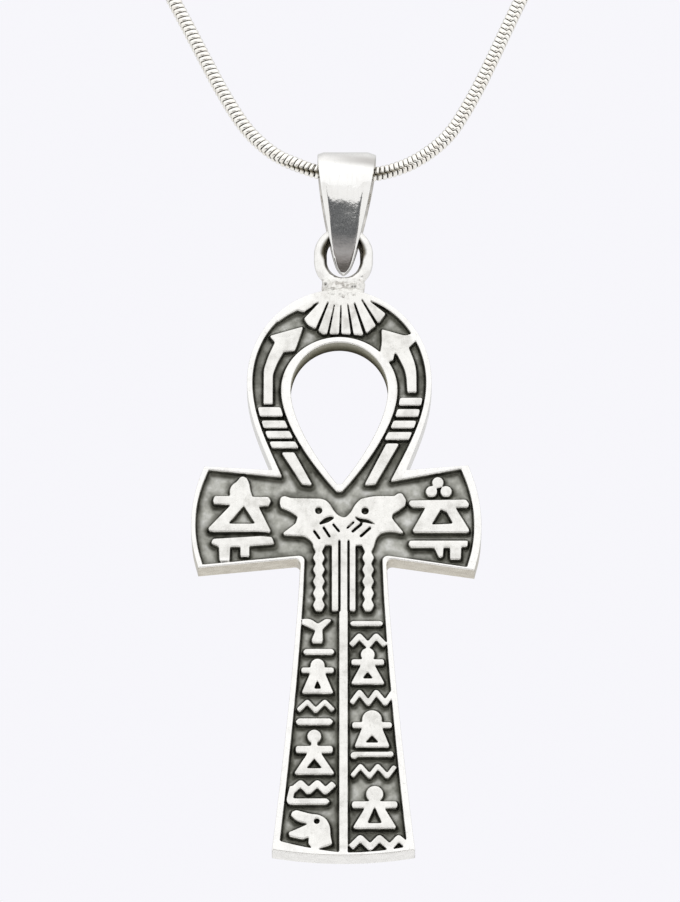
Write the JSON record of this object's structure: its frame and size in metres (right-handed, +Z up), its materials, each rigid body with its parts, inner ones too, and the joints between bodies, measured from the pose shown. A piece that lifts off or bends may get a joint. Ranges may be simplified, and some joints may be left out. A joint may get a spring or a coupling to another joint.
{
  "type": "ankh pendant on a snake chain",
  "caption": "Silver ankh pendant with raised ornament, hung by a ring and a tapered bail on a fine snake chain that closes at the nape.",
  "frame": {"origin": "middle of the clasp, where the chain lies on the nape of the neck", "axes": "+Z up as worn, the front of the pendant looks towards -Y, +X to the right in the picture"},
  "size_m": [0.1142, 0.0923, 0.1812],
  "materials": {
    "ankh": "cast sterling silver, polished relief on a blackened ground",
    "bail": "polished sterling silver",
    "snake_chain": "polished sterling silver, ribbed",
    "chain_cap": "polished sterling silver",
    "clasp": "polished sterling silver"
  },
  "bodies": {
    "necklace": {"snake_chain": "snake_chain", "chain_cap_left": "chain_cap", "chain_cap_right": "chain_cap", "clasp": "clasp"},
    "bail": {"bail": "bail"},
    "ankh": {"ankh": "ankh"}
  },
  "joints": [
    {"name": "bail_swing", "type": "hinge", "parent": "necklace", "child": "bail", "pos_m": [0, -0.088, -0.119], "axis": [1, 0, 0], "range_deg": [-90, 90]},
    {"name": "pendant_swing", "type": "hinge", "parent": "bail", "child": "ankh", "pos_m": [0, -0.088, -0.12417], "axis": [1, 0, 0], "range_deg": [-15, 15]}
  ]
}
